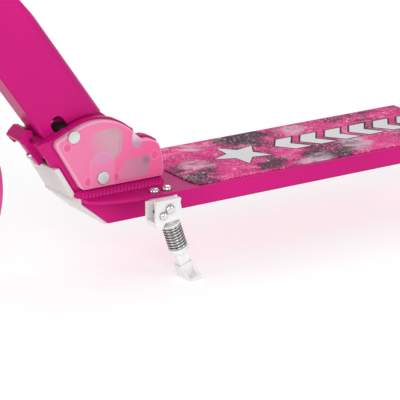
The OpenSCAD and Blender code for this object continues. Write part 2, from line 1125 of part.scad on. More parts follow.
module rear_core() {
  color(white)
    at_rear()
      core();
}

module rear_tyre() {
  color(pink)
    at_rear()
      tyre();
}

// rear brake

module brake_fender() {
  half = tyre_w / 2 + 4;
  color(black)
    difference() {
      union() {
        at_rear() {
          slab(-half, half)
            polygon(concat(arc(0, 0, fender_r, 24, 122, 40),
                           arc(0, 0, fender_r + fender_t, 122, 24, 40)));
          for (side = [0, 1])
            mirror([0, side, 0])
              slab(half - 2.5, half)
                polygon(concat(arc(0, 0, fender_r - 5, 32, 118, 40),
                               arc(0, 0, fender_r + 1, 122, 24, 40)));
        }
        translate([fender_pin_x, 0, fender_pin_z])
          rod(7, -drop_in + 0.5, half - 4);
        at_rear()
          slab(-half, half - 4)
            polygon([[fender_pin_reach * cos(fender_angle) - 2,
                      fender_pin_reach * sin(fender_angle) - 6],
                     [fender_pin_reach * cos(fender_angle) + 3,
                      fender_pin_reach * sin(fender_angle) + 6],
                     [(fender_r + fender_t) * cos(30), (fender_r + fender_t) * sin(30)],
                     [fender_r * cos(26), fender_r * sin(26)]]);
      }
      translate([fender_pin_x, 0, fender_pin_z])
        rod(3 + fit, -40, 40);
    }
}

module fender_pin() {
  out = drop_in + drop_t;
  color(steel)
    translate([fender_pin_x, 0, fender_pin_z]) {
      rod(3, -out - 0.5, out + 0.5);
      disc_head(5, out + 0.02, 1.6);
      mirror([0, 1, 0])
        disc_head(5, out + 0.02, 1.6);
    }
}

module fender_spring() {
  lo = tyre_w / 2 + 0.5;
  turns = 3;
  wire = 1;
  color(steel)
    translate([fender_pin_x, 0, fender_pin_z])
      rotate([-90, 0, 0])
        coil(6, wire, lo, drop_in - 0.2, turns);
}

// side stand

module stand_bracket() {
  y0 = stand_in;
  y1 = stand_in + stand_plate;
  y2 = y1 + stand_gap;
  y3 = y2 + stand_plate;
  color(white)
    translate([pivot_x, 0, deck_top])
      difference() {
        union() {
          // inner plate, and its tongue under the deck
          slab(y0, y1)
            polygon([[-28, -deck_t - 0.05], [-60, -deck_t - 0.05], [-60, -12],
                     [-56, -19], [-50, -22.6], [-36, -27], [-30, -25], [-28, -21]]);
          translate([-64, deck_bolt_y - 6, -deck_t - 3.05])
            cube([26, y0 - deck_bolt_y + 5, 3]);
          translate([-60, y0 - 2, -deck_t - 3.05])
            cube([22, 3, 3]);
          // outer plate with its rolled top
          slab(y2, y3)
            polygon([[-28.5, 1], [-54.5, 1], [-57.7, -17], [-55, -20.3], [-39, -21.5],
                     [-36, -25], [-31, -25.6], [-28.5, -22]]);
          slab(y2, y3 + 1.6)
            polygon([[-28, 1.2], [-54.8, 1.2], [-54.8, -1.6], [-28, -1.6]]);
          // web that joins them in front and stops the leg
          slab(y0, y3)
            polygon([[-28, -20], [-31.5, -20], [-34, -24], [-36, -24.4], [-36, -27],
                     [-31, -26.5], [-28.4, -23]]);
        }
        translate([stand_x, 0, -stand_drop])
          rod(3.02, 0, 100);
        translate([stand_x + stop_dx, 0, -stand_drop - stop_dz])
          rod(2.02, 0, 100);
        for (x = deck_bolt_x)
          translate([x, deck_bolt_y, -20])
            cylinder(h = 30, r = bolt_r + fit);
      }
}

module deck_bolts() {
  color(steel)
    translate([pivot_x, deck_bolt_y, deck_top])
      for (x = deck_bolt_x)
        translate([x, 0, 0]) {
          dome(5.2, 4);
          translate([0, 0, -deck_t - 8])
            cylinder(h = deck_t + 8.5, r = bolt_r);
          translate([0, 0, -deck_t - 7])
            cylinder(h = 3.9, r = 4.4, $fn = 6);
        }
}

// a cross bolt with a domed head outside and a flat end inside
module cross_bolt(r, head, out) {
  rod(r, stand_in + 0.05, out + 0.5);
  translate([0, out + 0.02, 0])
    rotate([-90, 0, 0])
      dome(head, 3.8);
}

module stand_pivot() {
  color(steel)
    translate([pivot_x + stand_x, 0, stand_z])
      cross_bolt(3, 4.9, stand_out);
}

module stand_stop() {
  color(steel)
    translate([pivot_x + stand_x + stop_dx, 0, stand_z - stop_dz])
      cross_bolt(2, 4.1, stand_out);
}

module stand_leg() {
  half = stand_gap / 2 - 0.4;
  color(white)
    at_stand()
      difference() {
        union() {
          rod(6, -half, half);
          translate([0, 0, -coil_hi - 8])
            cylinder(h = coil_hi + 8, r = 4.1);
          translate([-5.5, -3.6, -stand_len + 12])
            cube([11, 7.2, stand_len - 12 - coil_hi - 7]);
        }
        rod(3 + fit, -20, 20);
      }
}

module stand_spring() {
  color(steel)
    at_stand()
      translate([0, 0, -coil_hi])
        coil(coil_r, wire_r, 0, coil_hi - coil_lo, 8);
}

module stand_collar() {
  color(white)
    at_stand()
      difference() {
        union() {
          translate([0, 0, -coil_hi - 4.6])
            cylinder(h = 4.6, r = coil_r);
          translate([0, 0, -coil_lo])
            cylinder(h = 1.6, r = coil_r);
          translate([0, 0, -coil_hi])
            cylinder(h = coil_hi - coil_lo + 1, r = 5.8);
        }
        translate([0, 0, -coil_hi - 10])
          cylinder(h = coil_hi, r = 4.12);
      }
}

module stand_foot() {
  top = stand_len - 16;
  color(white)
    intersection() {
      at_stand()
        difference() {
          translate([-7, 0, 0])
            rotate([90, 0, 90])
              linear_extrude(14)
                polygon([[-5.2, -top], [5.2, -top], [6, -top - 3], [15, -top - 13],
                         [15, -stand_len - 8], [-6, -stand_len - 8], [-6, -top - 3]]);
          translate([-5.6, -3.7, -stand_len + 11.9])
            cube([11.2, 7.4, 40]);
          // pocket in the flare
          translate([-4, 7, -top - 12])
            cube([8, 20, 9]);
        }
      translate([-big, 0, 0])
        cube([2 * big, big, big]);
    }
}

deck();
deck_nose();
grip_sheet();
hinge_plate_left();
hinge_plate_right();
hinge_bridge();
weld_bead_left();
weld_bead_right();
hinge_cover_left();
hinge_cover_right();
cover_screws();
notch_caps();
pivot_bolt();
pivot_nut();
pivot_washers();
neck();
lock_pin();
lock_slider();
lock_screw();
lock_spring();
head_tube();
headset_cups();
fork();
column();
column_clamp();
clamp_screws();
height_collar();
collar_bolt();
collar_nut();
collar_lever();
handlebar();
grip_left();
grip_right();
front_axle_bolt();
front_axle_nut();
front_spacers();
front_bearings();
front_core();
front_tyre();
dropout_left();
dropout_right();
rear_axle_bolt();
rear_axle_nut();
rear_spacers();
rear_bearings();
rear_core();
rear_tyre();
brake_fender();
fender_pin();
fender_spring();
stand_bracket();
deck_bolts();
stand_pivot();
stand_stop();
stand_leg();
stand_spring();
stand_collar();
stand_foot();
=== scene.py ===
import json
import math

import bmesh
import bpy
import numpy as np
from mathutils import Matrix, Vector


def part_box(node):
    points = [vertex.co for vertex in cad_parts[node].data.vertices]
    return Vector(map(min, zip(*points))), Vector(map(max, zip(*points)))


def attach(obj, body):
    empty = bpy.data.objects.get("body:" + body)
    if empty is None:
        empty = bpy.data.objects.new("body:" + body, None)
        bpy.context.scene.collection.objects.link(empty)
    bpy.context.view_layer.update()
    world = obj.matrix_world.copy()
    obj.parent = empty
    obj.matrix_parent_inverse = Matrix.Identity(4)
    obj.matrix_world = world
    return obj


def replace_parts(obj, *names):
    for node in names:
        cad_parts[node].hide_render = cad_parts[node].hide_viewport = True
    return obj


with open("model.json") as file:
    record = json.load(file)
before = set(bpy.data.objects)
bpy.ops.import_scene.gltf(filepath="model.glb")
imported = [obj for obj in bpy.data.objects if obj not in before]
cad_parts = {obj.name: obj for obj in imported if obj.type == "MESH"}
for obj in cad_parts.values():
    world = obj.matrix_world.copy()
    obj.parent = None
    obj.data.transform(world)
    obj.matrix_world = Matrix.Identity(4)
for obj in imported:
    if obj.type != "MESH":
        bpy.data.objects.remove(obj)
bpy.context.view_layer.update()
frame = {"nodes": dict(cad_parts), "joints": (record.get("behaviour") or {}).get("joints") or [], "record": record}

mm = 0.001
joints = {j["name"]: j for j in frame["joints"]}
slots = {p["node"]: p["material_slot"] for p in frame["record"]["subparts"]}
print("frame loaded:", len(frame["nodes"]), "nodes")


def unit(v):
    v = np.array(v, float)
    return v / np.linalg.norm(v)


def nodePoints(node):
    mesh = frame["nodes"][node].data
    co = np.zeros(len(mesh.vertices) * 3)
    mesh.vertices.foreach_get("co", co)
    return co.reshape(-1, 3)


# the axial extent and the largest radius of a node about a line: dot products and what is left of them
def spanOf(node, origin, axis):
    rel = nodePoints(node) - np.array(origin)
    along = rel @ axis
    away = np.linalg.norm(rel - along[:, None] * axis, axis=1)
    return along.min(), along.max(), away.max()


pivot = np.array(joints["fold"]["pos_m"])
neckUp = unit(joints["lock_slide"]["axis"])
standAt = np.array(joints["stand_swing"]["pos_m"])
collarLow, collarHigh = (np.array(v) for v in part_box("stand_collar"))
standDown = unit(((collarLow + collarHigh) / 2 - standAt) * [1, 0, 1])
sideways = np.array([0.0, 1.0, 0.0])


cameraSettings = {"azimuth": 147.0, "elevation": 18.3, "lens": 189.0, "distance": 1.961,
                  "aim": (-71.8, 90.3, -19.5)}


def makeCamera(s):
    a, e = math.radians(s["azimuth"]), math.radians(s["elevation"])
    back = Vector((math.sin(a) * math.cos(e), -math.cos(a) * math.cos(e), math.sin(e)))
    data = bpy.data.cameras.new("camera")
    data.lens = s["lens"]
    camera = bpy.data.objects.new("camera", data)
    camera.rotation_mode = "QUATERNION"
    camera.location = Vector(pivot) + Vector(s["aim"]) * mm + back * s["distance"]
    camera.rotation_quaternion = (-back).to_track_quat("-Z", "Y")
    bpy.context.scene.collection.objects.link(camera)
    bpy.context.scene.camera = camera


lightSettings = {
    "key": {"at": (1.4, 2.6, 1.7), "size": 1.6, "power": 36, "tint": (1, 0.99, 0.98)},
    "front": {"at": (2.8, -0.2, 0.9), "size": 1.4, "power": 20, "tint": (1, 0.98, 0.98)},
    "back": {"at": (-1.6, -1.8, 2.2), "size": 2.0, "power": 14, "tint": (0.98, 0.99, 1)},
    "side": {"at": (-1.4, 2.4, 1.0), "size": 1.4, "power": 14, "tint": (1, 1, 1)},
}
worldGlow = 0.50
floorReach = 9.0
floorTone = 0.52
floorGlow = 0.60


def makeLights():
    for name, s in lightSettings.items():
        data = bpy.data.lights.new(name, "AREA")
        data.shape = "DISK"
        data.size = s["size"]
        data.energy = s["power"]
        data.color = s["tint"]
        lamp = bpy.data.objects.new(name, data)
        lamp.location = s["at"]
        lamp.rotation_mode = "QUATERNION"
        lamp.rotation_quaternion = (Vector(pivot) - lamp.location).to_track_quat("-Z", "Y")
        bpy.context.scene.collection.objects.link(lamp)
    world = bpy.data.worlds.new("studio")
    world.use_nodes = True
    world.node_tree.nodes["Background"].inputs[0].default_value = (1, 1, 1, 1)
    world.node_tree.nodes["Background"].inputs[1].default_value = worldGlow
    bpy.context.scene.world = world
    bpy.context.scene.view_settings.view_transform = "Standard"


makeCamera(cameraSettings)
makeLights()
print("camera and light ready")


class Signal:
    def __init__(self, shader, socket):
        self.shader = shader
        self.socket = socket

    def math(self, operation, *others, swap=False):
        values = [self, *others]
        if swap:
            values.reverse()
        inputs = dict(enumerate(values))
        return self.shader.node("ShaderNodeMath", {"operation": operation}, inputs)

    def __add__(self, other):
        return self.math("ADD", other)

    def __sub__(self, other):
        return self.math("SUBTRACT", other)

    def __rsub__(self, other):
        return self.math("SUBTRACT", other, swap=True)

    def __mul__(self, other):
        return self.math("MULTIPLY", other)

    def __rmul__(self, other):
        return self.math("MULTIPLY", other)

    def __pow__(self, other):
        return self.math("POWER", other)

    # 0 below low, 1 above high, smooth between
    def step(self, low, high):
        settings = {"interpolation_type": "SMOOTHSTEP", "clamp": True}
        return self.shader.node("ShaderNodeMapRange", settings, {0: self, 1: low, 2: high})

    # 1 inside (below the edge), 0 outside, with a soft rim
    def under(self, edge, soft):
        return 1 - self.step(edge - soft, edge + soft)


class Shader:
    def __init__(self, name):
        self.material = bpy.data.materials.new(name)
        self.material.use_nodes = True
        self.tree = self.material.node_tree
        self.surface = self.tree.nodes["Principled BSDF"]
        self.place = None

    def node(self, kind, settings=None, inputs=None, out=0):
        made = self.tree.nodes.new(kind)
        for key, value in (settings or {}).items():
            if key == "stops":
                ramp = made.color_ramp
                while len(ramp.elements) < len(value):
                    ramp.elements.new(0.5)
                for element, (at, colour) in zip(ramp.elements, value):
                    element.position = at
                    element.color = (*colour, 1)
            else:
                setattr(made, key, value)
        for key, value in (inputs or {}).items():
            self.feed(made.inputs[key], value)
        return Signal(self, made.outputs[out])

    def feed(self, socket, value):
        if isinstance(value, Signal):
            self.tree.links.new(value.socket, socket)
        elif isinstance(value, (int, float)):
            socket.default_value = value
        else:
            value = tuple(value)
            socket.default_value = value + (1,) if socket.type == "RGBA" and len(value) == 3 else value

    def position(self):
        if self.place is None:
            self.place = self.node("ShaderNodeTexCoord", out=3)
        return self.place

    # the place's three numbers, from a point of the frame, in millimetres
    def axes(self, origin=(0, 0, 0)):
        split = self.node("ShaderNodeSeparateXYZ", None, {0: self.position()})
        outs = split.socket.node.outputs
        return [(Signal(self, outs[i]) - float(origin[i])) * 1000 for i in range(3)]

    def noise(self, scale, detail=3.0, rough=0.5, warp=0.0, vector=None):
        inputs = {"Vector": vector or self.position(), "Scale": scale, "Detail": detail,
                  "Roughness": rough, "Distortion": warp}
        return self.node("ShaderNodeTexNoise", None, inputs)

    def cells(self, scale, feature="F1", out=0):
        inputs = {"Vector": self.position(), "Scale": scale}
        return self.node("ShaderNodeTexVoronoi", {"feature": feature}, inputs, out)

    def mix(self, factor, a, b):
        made = self.node("ShaderNodeMix", {"data_type": "RGBA"},
                         {0: factor, 6: a, 7: b})
        return Signal(self, made.socket.node.outputs[2])

    # how far an edge stands proud, 0 on the flat and 1 on a sharp corner
    def edge(self, low=0.56, high=0.66):
        pointed = self.node("ShaderNodeNewGeometry", out=7)
        return pointed.step(low, high)

    def bump(self, height, strength, depth=0.001):
        inputs = {"Strength": strength, "Distance": depth, "Height": height}
        self.feed(self.surface.inputs["Normal"], self.node("ShaderNodeBump", None, inputs))

    def set(self, **values):
        for key, value in values.items():
            self.feed(self.surface.inputs[key.replace("_", " ")], value)
        return self.material


def scaled(colour, by):
    return tuple(c * by for c in colour)


paintSettings = {"fleck": 900.0, "cloud": 9.0, "peel": 650.0, "wear": 140.0}


# powder coat: a colour with slow clouds, orange peel, and pale edges: a painted highlight along the corners,
# broken into rubbed patches by a noise
def powderCoat(name, colour, rough=0.3, coat=0.08, pale=0.35, shine=0.25):
    s = Shader(name)
    clouds = s.noise(paintSettings["cloud"], 3)
    fleck = s.noise(paintSettings["fleck"], 2)
    base = s.mix(clouds.step(0.3, 0.7), scaled(colour, 0.93), scaled(colour, 1.05))
    edges = s.edge()
    # painted highlight along the edges, in rubbed patches; these patches are also a little rougher
    wearAndEdgeHighlight = edges * s.noise(paintSettings["wear"], 4).step(0.35, 0.62)
    light = tuple(min(1, c * 0.72 + 0.28) for c in colour)
    base = s.mix(wearAndEdgeHighlight * pale, base, light)
    peel = s.noise(paintSettings["peel"], 2)
    s.bump(peel * 0.7 + fleck * 0.3, 0.08, 0.0004)
    roughness = clouds * 0.08 + (rough - 0.04) + wearAndEdgeHighlight * 0.12
    return s.set(Base_Color=base, Roughness=roughness, Specular_IOR_Level=shine,
                 Coat_Weight=coat, Coat_Roughness=0.12)


# plated steel: a fine brushed grain that runs one way, soft smudges, and painted shade, a dark painted reflection
# where the mesh's own shade value says the metal turns under
def platedSteel(name, tone=0.62, rough=0.25, grain=(1500, 40, 40), dark=0.82, relief=0.06):
    s = Shader(name)
    stretched = s.node("ShaderNodeMapping", None, {"Vector": s.position(), "Scale": grain})
    lines = s.noise(1.0, 3, 0.6, 0.0, stretched)
    smudge = s.noise(60, 4)
    colour = s.mix(smudge.step(0.3, 0.7), (tone * dark, tone * dark, tone * dark * 0.98),
                   (tone, tone, tone * 0.99))
    # painted shade: the mesh's shade value mixes in a dark painted reflection
    paintedShade = s.node("ShaderNodeAttribute", {"attribute_name": "shade"}, out=2)
    colour = s.mix(paintedShade, colour, (0.05, 0.048, 0.045))
    s.bump(lines, relief, 0.0003)
    return s.set(Base_Color=colour, Metallic=1.0, Roughness=smudge * 0.12 + (rough - 0.06))


# moulded plastic: a fine leathery texture, slow tone changes and a painted highlight on the edges
def mouldedPlastic(name, colour, rough=0.45, texture=0.12, grain=420.0):
    s = Shader(name)
    clouds = s.noise(14, 3)
    base = s.mix(clouds.step(0.3, 0.7), scaled(colour, 0.9), scaled(colour, 1.08))
    light = tuple(min(1, c * 0.8 + 0.1) for c in colour)
    # painted highlight: paler where the edge mask stands proud
    base = s.mix(s.edge() * 0.4, base, light)
    s.bump(s.cells(grain, "SMOOTH_F1") * 0.5 + s.noise(grain * 1.7, 2) * 0.5, texture, 0.0004)
    return s.set(Base_Color=base, Roughness=clouds * 0.14 + (rough - 0.07))


# cast urethane: even colour with faint cure clouds, and dust in the tread
def castUrethane(name, colour):
    s = Shader(name)
    clouds = s.noise(22, 4)
    base = s.mix(clouds.step(0.3, 0.75), scaled(colour, 0.88), scaled(colour, 1.06))
    scuff = s.noise(160, 5, 0.65).step(0.52, 0.75)
    base = s.mix(scuff * 0.14, base, (0.42, 0.34, 0.36))
    s.bump(s.noise(500, 3), 0.15, 0.0005)
    return s.set(Base_Color=base, Roughness=scuff * 0.2 + 0.34)


recessSettings = {
    # hollows seen through a cover, painted in as shade, as thick lines: from, to (forward, up) and radius, in mm
    # from the pivot
    "large": [(4, 33.5, -6, 34.5, 11.5), (-13.5, 37.5, -13.5, 35, 8.0), (-13.5, 26, -10, 22, 7.2)],
    "small": [(-23, 0.2, -45, 0.2, 6.2), (-30, 8, -44, 6.5, 5.8), (-47.5, 9, -47.5, 7, 4.9)],
    "notch": [(-39, 37, -38, 28.2, 5.7)],
    "bosses": [(37.0, 34.7), (-57.2, 12.8), (15.3, -1.9), (-14.1, -1.9)],
    "tab": (0.5, 11.2, 12.8),
}


# the distance to the nearest of several thick lines, negative inside: the length of what is left of
# the way from a line's start once the clamped part along it is taken off, less the radius
def strokesDistance(x, z, strokes, blend=6.0):
    nearest = None
    for x0, z0, x1, z1, r in strokes:
        dx, dz = x1 - x0, z1 - z0
        long = dx * dx + dz * dz
        part = ((x - x0) * (dx / long) + (z - z0) * (dz / long)).math("MAXIMUM", 0.0).math("MINIMUM", 1.0)
        away = ((x - x0 - part * dx) ** 2.0 + (z - z0 - part * dz) ** 2.0) ** 0.5 - r
        nearest = away if nearest is None else nearest.math("SMOOTH_MIN", away, blend)
    return nearest


# frosted plastic: fine grain over pink, with what lies behind it painted in as soft pale or dark shapes of painted
# shade and painted highlight
def frostedPlastic(name):
    s = Shader(name)
    t = recessSettings
    x, _, z = s.axes(pivot)
    speck = s.noise(1300, 2, 0.7)
    wobble = s.noise(90, 2)
    left = s.mix(speck.step(0.32, 0.68), (0.72, 0.160, 0.33), (0.80, 0.215, 0.40))
    right = s.mix(speck.step(0.32, 0.68), (0.76, 0.085, 0.26), (0.84, 0.125, 0.33))
    base = s.mix((x * -0.01 - z * 0.006).step(-0.35, 0.45), left, right)
    # painted shade of the large hollows behind the cover, graded across them
    hollow = strokesDistance(x, z, t["large"])
    shade = s.mix((x * -0.045 + z * 0.02).step(-0.2, 1.1), (0.74, 0.19, 0.36), (0.58, 0.31, 0.38))
    base = s.mix(hollow.under(0.0, 1.2), base, shade)
    # a painted shadow along one side of the large hollows' outline
    edge = (hollow + 1.8).math("ABSOLUTE").under(0.7, 1.6) * (x * -0.1).step(0.4, 1.6)
    base = s.mix(edge * 0.45, base, (0.40, 0.19, 0.27))
    # painted shade of the small hollows
    small = strokesDistance(x, z, t["small"])
    shade = s.mix((x * -0.04 + z * 0.03).step(0.8, 2.2), (0.66, 0.20, 0.34), (0.48, 0.20, 0.29))
    base = s.mix(small.under(0.0, 1.0), base, shade)
    # darker painted shade in a corner of the small hollows
    corner = ((x + 48) ** 2.0 + (z - 9.5) ** 2.0) ** 0.5
    base = s.mix(corner.under(4.0, 3.5) * small.under(0.0, 1.0) * 0.7, base, (0.30, 0.12, 0.20))
    # the notch: painted shade below, a painted highlight towards its top
    notch = strokesDistance(x, z, t["notch"])
    shade = s.mix((z * 0.1).step(2.6, 3.6), (0.50, 0.24, 0.42), (0.72, 0.55, 0.64))
    base = s.mix(notch.under(0.0, 0.7), base, shade)
    # each boss: a pink disc with a painted highlight ring round it
    for cx, cz in t["bosses"]:
        away = ((x - cx) ** 2.0 + (z - cz) ** 2.0) ** 0.5
        base = s.mix(away.under(3.5, 0.25) * 0.8, base, (0.80, 0.070, 0.26))
        base = s.mix((away - 4.6).math("ABSOLUTE").under(0.25, 0.25) * 0.4, base, (0.86, 0.40, 0.56))
    # the tab: painted shade graded over its bend, and a painted highlight on its outline
    cx, cz, r = t["tab"]
    down = (z - cz).math("MAXIMUM", 0.0)
    tab = ((x - cx) ** 2.0 + down ** 2.0) ** 0.5 - r
    bend = (z - (x - cx) ** 2.0 * 0.03) * 0.1
    shade = s.mix(bend.step(1.28, 1.42), (0.76, 0.205, 0.40), (0.64, 0.26, 0.46))
    base = s.mix(tab.under(0.0, 0.4) * 0.92, base, shade)
    base = s.mix(tab.math("ABSOLUTE").under(0.3, 0.3) * 0.35, base, (0.86, 0.42, 0.58))
    # painted highlight along the cover's rounded rim, by the rim value
    rim = s.node("ShaderNodeAttribute", {"attribute_name": "rim"}, out=2)
    base = s.mix(rim * 0.7, base, (0.84, 0.50, 0.64))
    s.bump(speck * 0.7 + wobble * 0.3, 0.12, 0.0003)
    return s.set(Base_Color=base, Roughness=speck * 0.12 + 0.38, Coat_Weight=0.06,
                 Specular_IOR_Level=0.3)


printSettings = {
    # dark and pale clouds of the print: forward of the pivot, to the left and reach, in mm
    "dark": [(-97, 46, 40), (-207, -52, 46), (-190, 38, 34), (-262, 36, 48), (-345, -38, 44),
             (-178, 0, 20), (-390, 20, 40)],
    "pale": [(-231, 60, 30), (-302, 30, 30), (-122, 6, 13), (-150, -46, 24), (-268, -40, 18),
             (-360, 8, 22)],
    "star": {"at": (-179.0, 0.0), "radius": 31.0, "inner": 0.46},
    "arrows": {"front": -214.0, "back": -404.0, "middle": -4.0, "half": 18.0, "pitch": 31.0,
               "slope": 0.75, "fill": 0.30},
    "line": 2.0,
}


# the union of soft round clouds: each falls from 1 at its middle to 0 at its reach, frayed by a noise
def cloudUnion(x, y, spots, fray):
    total = None
    for cx, cy, reach in spots:
        away = ((x - cx) ** 2.0 + (y - cy) ** 2.0) ** 0.5
        spot = 1 - (away + fray).step(0.0, reach)
        total = spot if total is None else total.math("MAXIMUM", spot)
    return total


# a five-pointed star: within a tenth of a turn from a tip, its side is a straight line from the tip
# to the notch, whose radius comes from the sine rule
def starDistance(x, y, radius, inner):
    reach = (x ** 2.0 + y ** 2.0) ** 0.5
    turn = y.math("ARCTAN2", x) * (5 / (2 * math.pi)) + 10.5
    share = (turn.math("FRACT") - 0.5).math("ABSOLUTE") * 2.0
    tenth = math.pi / 5
    away = share * tenth
    side = (away.math("SINE") + (tenth - away).math("SINE") * inner) ** -1.0
    return reach - side * (radius * inner * math.sin(tenth))


# a row of arrowheads: bands across a saw that leans back with the distance from the middle line
def arrowDistance(x, y, a):
    lean = (y - a["middle"]).math("ABSOLUTE")
    saw = ((x + lean * a["slope"]) * (1 / a["pitch"]) + 20.0).math("FRACT")
    band = ((saw - 0.5).math("ABSOLUTE") - a["fill"]) * a["pitch"] * 0.8
    ends = (x + lean * a["slope"] - (a["front"] + a["back"]) / 2).math("ABSOLUTE")
    ends = ends - (a["front"] - a["back"]) / 2
    return band.math("MAXIMUM", lean - a["half"]).math("MAXIMUM", ends)


# grit sheet with a starry print: warped noise picks the colours, cell centres are the specks,
# and a plain star with a row of arrowheads lies over it in white with a dark line
def starryPrint(name):
    s = Shader(name)
    t = printSettings
    x, y, _ = s.axes((pivot[0], 0, 0))
    wide = s.noise(11, 6, 0.62, 1.0)
    fine = s.noise(48, 6, 0.7, 0.6)
    streak = s.node("ShaderNodeMapping", None, {"Vector": s.position(), "Scale": (18, 46, 20),
                                                "Rotation": (0, 0, 0.35)})
    veil = s.noise(1.0, 6, 0.72, 1.4, streak)
    fray = (wide - 0.5) * 120 + (fine - 0.5) * 60
    dark = cloudUnion(x, y, t["dark"], fray)
    pale = cloudUnion(x, y, t["pale"], fray)
    stops = [(0.0, (0.055, 0.006, 0.030)), (0.24, (0.15, 0.008, 0.060)), (0.40, (0.42, 0.006, 0.14)),
             (0.54, (0.72, 0.008, 0.22)), (0.74, (0.88, 0.022, 0.28)), (1.0, (0.92, 0.18, 0.42))]
    field = (wide - 0.5) * 1.5 + (fine - 0.5) * 0.9 + (veil - 0.5) * 0.8 + 0.66
    field = field - dark * 0.46
    base = s.node("ShaderNodeValToRGB", {"stops": stops}, {0: field})
    haze = (veil * 0.7 + fine * 0.6 + pale * 0.24).step(0.68, 1.02)
    base = s.mix(haze * 0.85, base, (0.88, 0.66, 0.76))
    for scale, size, keep in ((95, 0.15, 0.30), (210, 0.17, 0.30), (430, 0.24, 0.42), (800, 0.3, 0.4)):
        away = s.cells(scale)
        chance = s.node("ShaderNodeSeparateColor", None, {0: s.cells(scale, out=1)})
        near = away.under(size, size * 0.5) * chance.under(keep, 0.05)
        base = s.mix(near * (fine.step(0.38, 0.6) * 0.6 + 0.3), base, (0.97, 0.86, 0.92))
    mark = t["star"]
    shape = starDistance(x - mark["at"][0], y - mark["at"][1], mark["radius"], mark["inner"])
    shape = shape.math("MINIMUM", arrowDistance(x, y, t["arrows"]))
    base = s.mix(shape.under(t["line"], 0.4), base, (0.035, 0.012, 0.025))
    base = s.mix(shape.under(0.0, 0.4), base, (0.84, 0.83, 0.84))
    grit = s.cells(900, "F1")
    s.bump(grit * 0.6 + s.noise(1500, 2) * 0.4, 0.2, 0.0006)
    return s.set(Base_Color=base, Roughness=fine * 0.15 + 0.5, Specular_IOR_Level=0.2)


# matt paper: a very faint mottle, and a glow of its own so that the ground stays pale
def paperFloor(name, tone, glow):
    s = Shader(name)
    mottle = s.noise(40, 3)
    base = s.mix(mottle, (tone * 0.99,) * 3, (tone, tone, tone))
    return s.set(Base_Color=base, Roughness=0.95, Specular_IOR_Level=0.0,
                 Emission_Color=(1, 1, 1), Emission_Strength=glow)


magenta = (0.56, 0.0060, 0.185)
paleGrey = (0.66, 0.645, 0.63)
makers = {
    "painted_pink": lambda: powderCoat("paintedPink", magenta, 0.32, 0.04, 0.35, 0.15),
    "deck_pink": lambda: powderCoat("deckPink", magenta, 0.36, 0.02, 0.35, 0.12),
    "pale_trim": lambda: powderCoat("paleTrim", paleGrey, 0.4, 0.1, 0.5),
    "printed_grip": lambda: starryPrint("printedGrip"),
    "frosted_pink": lambda: frostedPlastic("frostedPink"),
    "bolt_steel": lambda: platedSteel("boltSteel", 0.72, 0.3),
    "dome_chrome": lambda: platedSteel("domeChrome", 0.78, 0.12, (60, 60, 60), 0.9, 0.01),
    "white_coat": lambda: powderCoat("whiteCoat", (0.80, 0.80, 0.80), 0.26, 0.3, 0.2, 0.5),
    "white_nylon": lambda: mouldedPlastic("whiteNylon", (0.82, 0.82, 0.81), 0.4),
    "black_coat": lambda: powderCoat("blackCoat", (0.018, 0.018, 0.02), 0.32, 0.3, 0.25, 0.5),
    "black_nylon": lambda: mouldedPlastic("blackNylon", (0.02, 0.02, 0.022)),
    "grip_rubber": lambda: mouldedPlastic("gripRubber", (0.62, 0.02, 0.22), 0.6, 0.3, 700.0),
    "wheel_pink": lambda: castUrethane("wheelPink", (0.66, 0.03, 0.25)),
    "core_white": lambda: mouldedPlastic("coreWhite", (0.80, 0.80, 0.81), 0.3, 0.06),
}
materials = {slot: make() for slot, make in makers.items()}
materials["floor"] = paperFloor("floorPaper", floorTone, floorGlow)
materials["springSteel"] = platedSteel("springSteel", 0.66, 0.2, (300, 300, 300), 0.7, 0.02)
print("materials ready")


def finished(name, verts, faces, slot, body, smooth=40.0, material=None):
    mesh = bpy.data.meshes.new(name)
    mesh.from_pydata(np.asarray(verts).tolist(), [], [list(map(int, f)) for f in faces])
    mesh.update()
    return placed(name, mesh, slot, body, smooth, material)


def placed(name, mesh, slot, body, smooth=40.0, material=None):
    mesh.shade_smooth()
    mesh.set_sharp_from_angle(angle=math.radians(smooth))
    piece = bpy.data.objects.new(name, mesh)
    bpy.context.scene.collection.objects.link(piece)
    mesh.materials.append(material or materials[slot])
    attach(piece, body)
    return piece


# a value for every point, read by the steel as how much painted shade it gets there
def shaded(piece, value):
    co = np.zeros(len(piece.data.vertices) * 3)
    piece.data.vertices.foreach_get("co", co)
    shade = np.clip(value(co.reshape(-1, 3) / mm), 0, 1)
    piece.data.attributes.new("shade", "FLOAT", "POINT").data.foreach_set("value", shade)


# quads between neighbours of a grid of points, whose columns always close on themselves; wrapU joins
# the last row to the first, and without it each end row is closed by a fan to its own middle
def gridFaces(points, wrapU=False):
    nu, nv = points.shape[:2]
    index = np.arange(nu * nv).reshape(nu, nv)
    a = index if wrapU else index[:-1]
    b = np.roll(index, -1, 0) if wrapU else index[1:]
    c, d = np.roll(b, -1, 1), np.roll(a, -1, 1)
    quads = np.stack([a, b, c, d], -1).reshape(-1, 4)
    verts = points.reshape(-1, 3)
    faces = [list(q) for q in quads]
    if not wrapU:
        middles = np.array([points[0].mean(0), points[-1].mean(0)])
        verts = np.vstack([verts, middles])
        first, last = len(verts) - 2, len(verts) - 1
        ring = np.arange(nv)
        faces += [[first, x, y] for x, y in zip(index[0], index[0][(ring + 1) % nv])]
        faces += [[last, y, x] for x, y in zip(index[-1], index[-1][(ring + 1) % nv])]
    return verts, faces


def joined(parts):
    verts, faces, base = [], [], 0
    for v, f in parts:
        verts.append(np.asarray(v, float))
        faces += [[i + base for i in face] for face in f]
        base += len(v)
    return np.vstack(verts), faces


def outward(piece):
    work = bmesh.new()
    work.from_mesh(piece.data)
    bmesh.ops.remove_doubles(work, verts=work.verts, dist=1e-7)
    bmesh.ops.recalc_face_normals(work, faces=work.faces)
    work.to_mesh(piece.data)
    work.free()
    return piece


